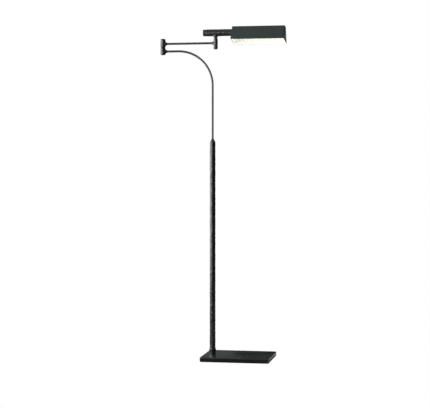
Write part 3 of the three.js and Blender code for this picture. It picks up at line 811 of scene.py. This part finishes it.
knuckleValues = {
    "voxel": 0.42, "smoothing": 5, "boss": 8.6, "tip": 5.95, "bossLength": 7.5, "armSocket": 5.05,
    "socketDepth": 12, "wireHole": 3.25, "pivotHole": 4.35, "counterbore": 7.6,
    "barrelMarks": {"markSize": 8, "markDepth": 0.6},
}
elbowAxis = Vector(joints["elbow_swing"]["pos_m"])
teeAxis = Vector(joints["head_swing"]["pos_m"])


def armBoss(name, barrelRadius, direction, values):
    root = values["boss"]
    tip = barrelRadius + values["bossLength"]
    middle = (root + values["tip"]) / 2
    corners = [
        (0, 1, 0), (root, 1, 0), (root, barrelRadius - 1.5, 2), (middle, barrelRadius + 2.6, 4),
        (values["tip"], tip, 0.7), (0, tip, 0),
    ]
    boss = turnedSolid(name, corners, 48, "X")
    if direction < 0:
        boss.data.transform(Matrix.Rotation(math.pi, 4, "Z"))
    return boss


def knucklePiece(name, node, axis, radius, armHeight, direction, ends, cuts, hammer, values):
    # a forged barrel round the axis, with the arm's boss on one side; heights in millimetres from z = 0
    low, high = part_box(node)
    bottom, top = low.z / mm, high.z / mm
    lowRound, highRound = ends
    shell = [(0, bottom, 0), (radius, bottom, lowRound), (radius, top, highRound), (0, top, 0)]
    barrel = turnedSolid("barrel", shell, 72, steps=8)
    boss = moved(armBoss("boss", radius, direction, values), (0, 0, armHeight))
    whole = merged(name, [barrel, boss], values["voxel"] * mm, values["smoothing"])
    moved(whole, (axis.x, axis.y, 0))
    tipPlace = abs((radius + values["bossLength"]) * mm)

    def weights(places):
        out = (places[:, 0] - axis.x) * direction
        return between(places[:, 2], low.z, high.z, 2.5 * mm) * np.clip((tipPlace - out) / (4 * mm), 0, 1)

    hammered(whole, hammer, weights)
    seat = radius + values["bossLength"] - values["socketDepth"] - 0.3
    bores = [
        plugCylinder("armHole", values["armSocket"], seat, seat + 40),
        plugCylinder("wireHole", values["wireHole"], 0, seat + 1),
    ]
    for bore in bores:
        moved(bore, (axis.x, axis.y, armHeight), math.pi / 2 * direction)
    for cut in cuts:
        bores.append(moved(plugCylinder("pivotHole", *cut), (axis.x, axis.y, 0)))
    cutAway(whole, *bores)
    return standIn(whole, node, sharpAngle=50)


def makeElbow(values, hammer):
    lowLow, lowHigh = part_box("elbow_lower_knuckle")
    upLow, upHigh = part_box("elbow_upper_knuckle")
    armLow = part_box("column_rod")[1].z - rodValues["radius"] * mm
    upperLow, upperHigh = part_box("upper_arm_tube")
    armHigh = (upperLow.z + upperHigh.z) / 2
    radius = (elbowAxis.x - lowLow.x) / mm
    bottom, top = lowLow.z / mm, upHigh.z / mm
    pivot, counterbore = values["pivotHole"], values["counterbore"]
    marks = {**hammer, **values["barrelMarks"]}
    cuts = [(pivot, bottom - 1, lowHigh.z / mm + 1), (counterbore, bottom - 1, bottom + 7)]
    knucklePiece("elbowLowerKnuckle", "elbow_lower_knuckle", elbowAxis, radius, armLow, 1, (4.5, 3.5),
                 cuts, {**marks, "seed": 11}, values)
    cuts = [(pivot, upLow.z / mm - 1, top + 1), (counterbore, top - 12, top + 1)]
    knucklePiece("elbowUpperKnuckle", "elbow_upper_knuckle", elbowAxis, radius, armHigh, 1, (3.5, 4.5),
                 cuts, {**marks, "seed": 12}, values)
    for name, node, side in (("elbowTopCap", "elbow_top_cap", 1), ("elbowBottomCap", "elbow_bottom_cap", -1)):
        low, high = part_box(node)
        capRadius = (high.x - low.x) / 2 / mm
        tall = (high.z - low.z) / mm
        corners = [
            (0, 0, 0), (capRadius, 0, 0.3), (capRadius, tall - 2.0, 1.2),
            (capRadius * 0.55, tall - 0.5, 5), (0, tall, 0),
        ]
        cap = turnedSolid(name, corners, 56, steps=6)
        if side > 0:
            moved(cap, (elbowAxis.x, 0, low.z))
        else:
            moved(cap, (elbowAxis.x, 0, high.z), math.pi, "X")
        standIn(cap, node)


def makeTee(values, hammer):
    low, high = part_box("tee_knuckle")
    radius = (high.y - low.y) / 2 / mm
    upperLow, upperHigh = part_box("upper_arm_tube")
    armHigh = (upperLow.z + upperHigh.z) / 2
    bottom, top = low.z / mm, high.z / mm
    cuts = [(values["pivotHole"], bottom - 1, top + 1), (values["counterbore"], bottom - 1, bottom + 7)]
    marks = {**hammer, **values["barrelMarks"], "markDepth": 0.5, "seed": 14}
    knucklePiece("teeKnuckle", "tee_knuckle", teeAxis, radius, armHigh, -1, (2, 2.5), cuts, marks, values)
    capLow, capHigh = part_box("tee_bottom_cap")
    lip = (capHigh.x - capLow.x) / 2 / mm
    tall = (capHigh.z - capLow.z) / mm
    plug = values["counterbore"] - 0.3
    corners = [
        (0, 0, 0), (lip * 0.7, 0.2, 3), (lip, 2.2, 2), (lip, tall - 1.9, 0.3),
        (plug, tall - 1.9, 0), (plug, tall, 0.3), (0, tall, 0),
    ]
    cap = turnedSolid("teeBottomCap", corners, 56, "Z", (teeAxis.x, 0, capLow.z), steps=6)
    standIn(cap, "tee_bottom_cap")


makeElbow(knuckleValues, hammerValues)
makeTee(knuckleValues, hammerValues)
print("knuckles made")

handleValues = {
    "wall": 1.5, "neck": 7.6, "flare": 14, "pinHole": 4.3, "seat": 15.1,
    "tubeMarks": {"markSize": 9.5, "markDepth": 0.7, "sunk": 0.3, "waviness": 0.3},
}
headAxis = Vector(joints["shade_turn"]["pos_m"])


def makeHandleTube(values, hammer):
    low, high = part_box("handle_tube")
    radius = (high.y - low.y) / 2
    bore = radius - values["wall"] * mm
    edge = 0.7 * mm
    outer = [(radius - edge, low.x), (radius - edge * 0.3, low.x + edge * 0.3)]
    outer += [(radius, x) for x in column(low.x + edge, high.x - edge, 0.62 * mm)]
    outer += [(radius - edge * 0.3, high.x - edge * 0.3), (radius - edge, high.x)]
    profile = outer + [(bore, high.x), (bore, low.x)]
    tube = turned("handleTube", profile, 144, "X", (0, headAxis.y, headAxis.z))

    def weights(places):
        away = np.hypot(places[:, 1] - headAxis.y, places[:, 2] - headAxis.z)
        return between(places[:, 0], low.x, high.x, 3 * mm) * (away > radius - 0.3 * mm)

    hammered(tube, {**hammer, **values["tubeMarks"], "seed": 21}, weights)
    hole = plugCylinder("pivotHole", values["pinHole"], headAxis.z / mm - 20, headAxis.z / mm)
    cutAway(tube, moved(hole, (teeAxis.x, 0, 0)))
    standIn(tube, "handle_tube", sharpAngle=60)


def makeKnob(values, hammer):
    low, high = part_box("dimmer_knob")
    radius = (high.y - low.y) / 2
    edge = 1.6 * mm
    length = high.x - low.x
    centre = (low.x, headAxis.y, headAxis.z)
    profile = [(0, 0)] + [(r, 0) for r in column(0.8 * mm, radius - edge, 0.7 * mm)]
    profile += [(radius - edge + edge * math.sin(t), edge - edge * math.cos(t)) for t in (0.3, 0.6, 0.9, 1.2)]
    profile += [(radius, x) for x in column(edge, length - 0.4 * mm, 0.65 * mm)]
    profile += [(radius - 0.4 * mm, length), (0, length)]
    knob = turned("dimmerKnob", profile, 132, "X", centre, closed=False)

    def weights(places):
        return np.clip((high.x - places[:, 0]) / (2.5 * mm), 0, 1)

    hammered(knob, {**hammer, **values["tubeMarks"], "markDepth": 0.6, "seed": 24}, weights)
    shaftLow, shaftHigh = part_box("dimmer_shaft")
    shaftRadius = (shaftHigh.y - shaftLow.y) / 2 / mm + 0.3
    hole = plugCylinder("shaftHole", shaftRadius, shaftLow.x / mm - 0.3, high.x / mm + 2)
    cutAway(knob, moved(hole, (0, headAxis.y, headAxis.z), math.pi / 2))
    standIn(knob, "dimmer_knob", sharpAngle=50)


def makeSaddle(values, hammer):
    low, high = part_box("handle_saddle")
    bottom = low.z / mm
    crown = headAxis.z / mm - 8
    meet = headAxis.z / mm - 15
    neck = values["neck"]
    corners = [
        (0, bottom, 0), (neck, bottom, 0.6), (neck, bottom + 5, 4), (neck + 2.2, meet - 2.6, 5),
        (values["flare"] - 1, meet + 1, 3), (values["flare"] - 2, crown, 0), (0, crown, 0),
    ]
    saddle = turnedSolid("handleSaddle", corners, 64, steps=8)
    whole = moved(merged("handleSaddle", [saddle], 0.42 * mm, 3), (teeAxis.x, 0, 0))

    def weights(places):
        return between(places[:, 2], low.z, crown * mm, 2 * mm)

    hammered(whole, {**hammer, "markSize": 8, "markDepth": 0.45, "seed": 27}, weights)
    tubeSpace = plugCylinder("tubeSpace", values["seat"], -60, 60, 144)
    moved(tubeSpace, (teeAxis.x, 0, headAxis.z), math.pi / 2)
    bore = plugCylinder("pinHole", values["pinHole"], bottom - 1, headAxis.z / mm)
    cutAway(whole, tubeSpace, moved(bore, (teeAxis.x, 0, 0)))
    standIn(whole, "handle_saddle", sharpAngle=50)


makeHandleTube(handleValues, hammerValues)
makeKnob(handleValues, hammerValues)
makeSaddle(handleValues, hammerValues)
print("handle made")

# a section is (across, up from the mouth, radius); lipThick, lipHigh and lipStart are the folded lips'
shadeValues = {
    "mouth": 110, "crown": 35, "depth": 65.5, "lip": 6, "sheet": 1.2, "axisAboveMouth": 41.5, "tilt": 7.5,
    "bend": 2.4, "flange": 7, "clearance": 0.3, "nippleHole": 5.25, "overrun": 12, "hem": 0.2,
    "lipThick": 2.6, "lipHigh": 4, "lipStart": 8.6,
}


def troughSection(values, inset):
    # half section corners from the mouth to the crown, then their mirror image, drawn in by inset
    lean = math.atan2(values["mouth"] / 2 - values["crown"] / 2, values["depth"] - values["lip"])
    wide = values["mouth"] / 2 - inset
    lipTop = values["lip"] - inset * math.tan(lean / 2)
    high = values["depth"] - inset
    narrow = values["mouth"] / 2 - math.tan(lean) * (high - values["lip"]) - inset / math.cos(lean)
    bend = max(values["bend"] - inset, 0.6)
    half = [(wide, 0, 0), (wide, lipTop, bend * 0.6), (narrow, high, bend)]
    return half + [(-across, up, radius) for across, up, radius in reversed(half)]


def intoPlace(piece, values):
    # from the section's own axes, with the mouth at the bottom, to the tilted shade
    moved(piece, (0, 0, -values["axisAboveMouth"] * mm))
    return moved(piece, (0, headAxis.y, headAxis.z), math.radians(-values["tilt"]), "X")


def paintShade(piece):
    # black outside, white inside with its painted glow, as the faces were numbered
    for material in (finishes["shade_enamel"], shadeWhite):
        piece.data.materials.append(material)


def makeShadeShell(values):
    low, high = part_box("shade_shell")
    outer = filleted(troughSection(values, 0), False, 6)

    def innerSide(thick):
        # the sheet is folded over along both lips, so it is thicker there
        inner = troughSection(values, values["sheet"])
        wide = values["mouth"] / 2 - thick
        lipHigh = values["lipHigh"]
        fold = [(wide, 0, 0), (wide, lipHigh, 0), (inner[0][0], lipHigh + 0.3, 0)]
        back = [(-across, up, radius) for across, up, radius in reversed(fold)]
        return filleted(fold + inner[1:-1] + back, False, 6)

    shape = bmesh.new()
    plain, folded = (outer + innerSide(thick)[::-1] for thick in (values["sheet"], values["lipThick"]))
    start, end = low.x + values["lipStart"] * mm, high.x - values["lipStart"] * mm
    rows = [(low.x, plain), (start - 0.2 * mm, plain)]
    rows += [(x, folded) for x in column(start, end, 12 * mm)]
    rows += [(end + 0.2 * mm, plain), (high.x, plain)]
    rings = [[shape.verts.new((x, p.x * mm, p.y * mm)) for p in loop] for x, loop in rows]
    count = len(plain)
    for first, second in zip(rings, rings[1:]):
        for i in range(count):
            j = (i + 1) % count
            face = shape.faces.new((first[i], first[j], second[j], second[i]))
            face.material_index = 1 if len(outer) <= i < count - 1 else 0
    # the fold gives the inside a few points more at each lip, and the end faces take them in
    folds = (count - 2 * len(outer)) // 2
    for ring in (rings[0], rings[-1]):
        near, far = ring[:len(outer)], ring[:len(outer) - 1:-1]
        shape.faces.new(near[:2] + far[folds + 1::-1])
        for i in range(1, len(outer) - 2):
            shape.faces.new((near[i], near[i + 1], far[i + 1 + folds], far[i + folds]))
        shape.faces.new(near[-2:] + far[:-folds - 3:-1])
    shell = intoPlace(meshObject("shadeShell", shape), values)
    paintShade(shell)
    softEdge(shell, 0.25 * mm, 2)
    standIn(shell, "shade_shell", twoFinishes=True)


def makeShadeEnd(name, node, side, values):
    # a plate with a flange turned inwards along the three closed sides; side is 1 for the far end
    low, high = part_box(node)
    outside = high.x if side > 0 else low.x
    inward = -side
    rim = values["sheet"] + values["clearance"]
    inside = rim + values["sheet"]
    steps = [
        (rim + 0.8, 0), (rim + 0.25, 0.25), (rim, 0.8), (rim, values["flange"]),
        (inside, values["flange"]), (inside, values["sheet"]),
    ]
    shape = bmesh.new()
    rings = []
    for inset, depth in steps:
        # drawn on past the mouth, and cut off there below
        section = [(a, u or -values["overrun"], r) for a, u, r in troughSection(values, inset)]
        x = outside + inward * depth * mm
        rings.append([shape.verts.new((x, p.x * mm, p.y * mm)) for p in filleted(section, True, 5)])
    for number, (first, second) in enumerate(zip(rings, rings[1:])):
        for i in range(len(first)):
            j = (i + 1) % len(first)
            face = shape.faces.new((first[i], first[j], second[j], second[i]))
            face.material_index = 1 if number >= 2 else 0
    shape.faces.new(rings[0])
    shape.faces.new(rings[-1]).material_index = 1
    end = meshObject(name, shape)
    paintShade(end)
    blockLow = Vector((outside - 0.02, -0.08, -0.04))
    blockHigh = Vector((outside + 0.02, 0.08, values["hem"] * mm))
    cutAway(end, roundedBlock("belowMouth", blockLow, blockHigh, 0, 0.00001, 1))
    intoPlace(end, values)
    if side < 0:
        hole = plugCylinder("nippleHole", values["nippleHole"], -10, 10)
        cutAway(end, moved(hole, (outside, headAxis.y, headAxis.z), math.pi / 2))
    standIn(end, node, twoFinishes=True)


makeShadeShell(shadeValues)
makeShadeEnd("shadeEndNear", "shade_end_near", -1, shadeValues)
makeShadeEnd("shadeEndFar", "shade_end_far", 1, shadeValues)
print("shade made")

holderValues = {"floor": 14, "bore": 13.9, "nippleBore": 5.2}
bulbValues = {"neck": 12.2, "glass": 0.8}
fixingValues = {"washerBore": 5.25, "nutFlats": 19, "nutBore": 5.2}


def makeLampholder(values):
    low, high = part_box("lampholder")
    radius = (high.y - low.y) / 2 / mm
    length = (high.x - low.x) / mm
    bore, nippleBore = values["bore"], values["nippleBore"]
    corners = [
        (nippleBore, 0, 0.4), (radius - 4.5, 0, 1.2), (radius - 1.2, 5, 3), (radius - 1.2, 17, 1),
        (radius - 2.2, 18.5, 0.8), (radius - 1.2, 20, 1), (radius, length - 8, 1.5), (radius, length, 1.4),
        (bore, length, 0.8), (bore, values["floor"], 0.8), (nippleBore, values["floor"], 0.3),
    ]
    holder = turnedRing("lampholder", corners, 96, "X", (low.x, headAxis.y, headAxis.z), 6)
    standIn(holder, "lampholder")


def makeBulb(values):
    low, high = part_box("bulb_glass")
    radius = (high.y - low.y) / 2 / mm
    length = (high.x - low.x) / mm
    glass = values["glass"]

    def wall(inset):
        return [
            (values["neck"] - inset, 0, 0), (values["neck"] - inset, 5, 4), (radius - inset, 15, 8),
            (radius - inset, length - inset, radius * 0.86), (0, length - inset, 0),
        ]

    outer = filleted(wall(0), False, 12)
    inner = filleted(wall(glass), False, 12)
    profile = [point * mm for point in outer + inner[::-1]]
    bulb = turned("bulbGlass", profile, 96, "X", (low.x, headAxis.y, headAxis.z), closed=True)
    standIn(bulb, "bulb_glass")


def makeWashers(bore):
    washers = {"shadeOuterWasher": "shade_outer_washer", "shadeInnerWasher": "shade_inner_washer"}
    for name, node in washers.items():
        low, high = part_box(node)
        radius = (high.y - low.y) / 2 / mm
        thick = (high.x - low.x) / mm
        corners = [(bore, 0, 0.2), (radius, 0, 0.3), (radius, thick, 0.3), (bore, thick, 0.2)]
        standIn(turnedRing(name, corners, 72, "X", (low.x, headAxis.y, headAxis.z)), node)


def makeHexNut(name, node, acrossFlats, bore):
    # chamfered corners, as a nut is turned from hexagon bar
    low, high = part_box(node)
    length = (high.x - low.x) / mm
    reach = acrossFlats / 2 / math.cos(math.pi / 6)
    face = acrossFlats / 2 * 0.96
    corners = [
        (bore, 0, 0.3), (face, 0, 0), (reach * 1.01, 0.7, 0), (reach * 1.01, length - 0.7, 0),
        (face, length, 0), (bore, length, 0.3),
    ]
    nut = turnedRing(name, corners, 72, "X", (low.x, headAxis.y, headAxis.z))
    flat = acrossFlats / 2 * mm
    cutters = []
    for i in range(6):
        blockLow, blockHigh = Vector((-0.01, -0.03, flat)), Vector((0.02, 0.03, flat + 0.01))
        block = roundedBlock("flat", blockLow, blockHigh, 0, 0.00001, 1)
        cutters.append(moved(block, (low.x, headAxis.y, headAxis.z), math.pi / 3 * i, "X"))
    cutAway(nut, *cutters)
    standIn(nut, node, sharpAngle=25)


makeLampholder(holderValues)
makeBulb(bulbValues)
makeWashers(fixingValues["washerBore"])
makeHexNut("shadeLockNut", "shade_lock_nut", fixingValues["nutFlats"], fixingValues["nutBore"])
print("lampholder and bulb made")

# metres and watts
studioValues = {
    "floorSize": 30,
    "floorShade": (0.07, 0.9),  # the floor's tone in the lamp's reflections, and that of a painted pool of light on it just past the base's right end
    "keyPower": 80,
    "keySize": (3.6, 2.08),  # along the lamp's depth, and upward, in metres
    "keyPlace": (-1.5, -0.3, 1.26),
    "fillPower": 9.2,
    "fillSize": (1.5, 1.75),
    "fillPlace": (-0.92, -2.5, 1.48),
    "backPower": 0.36,
    "backSize": (1.4, 0.8),
    "backPlace": (-1.13, 2.6, 0.5),
    "rimPower": 7,
    "rimSize": (0.9, 1.6),
    "rimPlace": (1.2, 2.9, 0.95),
    "topLight": 0.34,
    "dim": 0.018,
}


def makeFloor(values):
    # seen straight on it is a bright sweep; in the lamp's own reflections it stays dim, save a painted pool of
    # light past the base's right end that brightens the base's right side
    shape = bmesh.new()
    half = values["floorSize"] / 2
    corners = ((-half, -half, 0), (half, -half, 0), (half, half, 0), (-half, half, 0))
    shape.faces.new([shape.verts.new(corner) for corner in corners])
    floor = meshObject("floor", shape)
    material, tree, shader = newMaterial("paleFloor", {"Roughness": 0.9, "Specular IOR Level": 0.0})
    grain = placeGroup(tree, fineGrain, Grain_Size=0.01, Drift_Size=0.8)
    place = addNode(tree, "ShaderNodeTexCoord").outputs["Object"]
    x, y = addNode(tree, "ShaderNodeSeparateXYZ", None, in0=place).outputs[:2]
    # a painted pool of light on the floor just right of the base, seen only in the lamp's reflections
    paintedLightPool = math2(tree, "MULTIPLY", ramp(tree, x, 0.08, 0.25), ramp(tree, y, -0.4, -0.1))
    paintedPoolEdge = math2(tree, "MULTIPLY", ramp(tree, x, 0.8, 0.4), ramp(tree, y, 1.1, 0.5))
    paintedLightPool = math2(tree, "MULTIPLY", paintedLightPool, paintedPoolEdge)
    speckle = math2(tree, "MULTIPLY", grain.outputs["Drift"], 0.05)
    paintedLightPool = math2(tree, "MULTIPLY", paintedLightPool, math2(tree, "SUBTRACT", 1.0, speckle))
    # dark is the floor's tone, light the painted pool's
    dark, light = values["floorShade"]
    pale = mixColour(tree, paintedLightPool, rgb(dark, dark, dark), rgb(light, light, light))
    tree.links.new(pale, shader.inputs["Base Color"])
    seen = addNode(tree, "ShaderNodeLightPath").outputs["Is Camera Ray"]
    sweep = addNode(tree, "ShaderNodeEmission", None, Color=rgb(1, 1, 1), Strength=1.0).outputs[0]
    mix = addNode(tree, "ShaderNodeMixShader", None, in0=seen, in1=shader.outputs[0], in2=sweep)
    tree.links.new(mix.outputs[0], tree.nodes["Material Output"].inputs["Surface"])
    floor.data.materials.append(material)


def makeWorld(values):
    # white where it is seen; for the lamp itself a dim room with a soft ceiling
    world = bpy.data.worlds.new("studio")
    bpy.context.scene.world = world
    world.use_nodes = True
    tree = world.node_tree
    background = tree.nodes["Background"]
    direction = addNode(tree, "ShaderNodeTexCoord").outputs["Generated"]
    up = addNode(tree, "ShaderNodeSeparateXYZ", None, in0=direction).outputs[2]
    above = math2(tree, "MULTIPLY", ramp(tree, up, 0.45, 0.95), values["topLight"])
    total = math2(tree, "ADD", above, values["dim"])
    seen = addNode(tree, "ShaderNodeLightPath").outputs["Is Camera Ray"]
    strength = addNode(tree, "ShaderNodeMix", {"data_type": "FLOAT"}, in0=seen, in2=total, in3=1.0)
    tree.links.new(strength.outputs[0], background.inputs["Strength"])
    background.inputs["Color"].default_value = rgb(1, 1, 1)


def addPanel(name, place, aim, size, power):
    light = bpy.data.lights.new(name, "AREA")
    light.shape = "RECTANGLE"
    light.size, light.size_y = size
    light.energy = power
    panel = bpy.data.objects.new(name, light)
    panel.location = place
    panel.rotation_euler = (Vector(aim) - Vector(place)).to_track_quat("-Z", "Y").to_euler()
    panel.visible_camera = False
    bpy.context.scene.collection.objects.link(panel)


def makeLights(values):
    place = values["keyPlace"]
    addPanel("keyPanel", place, (0, place[1], place[2]), values["keySize"], values["keyPower"])
    addPanel("fillPanel", values["fillPlace"], (-0.1, 0, 1.2), values["fillSize"], values["fillPower"])
    addPanel("rimPanel", values["rimPlace"], (-0.1, 0, 0.7), values["rimSize"], values["rimPower"])
    addPanel("backPanel", values["backPlace"], (-0.1, 0, 0.4), values["backSize"], values["backPower"])


makeLights(studioValues)
makeFloor(studioValues)
makeWorld(studioValues)
bpy.context.scene.view_settings.view_transform = "Standard"
print("studio made")
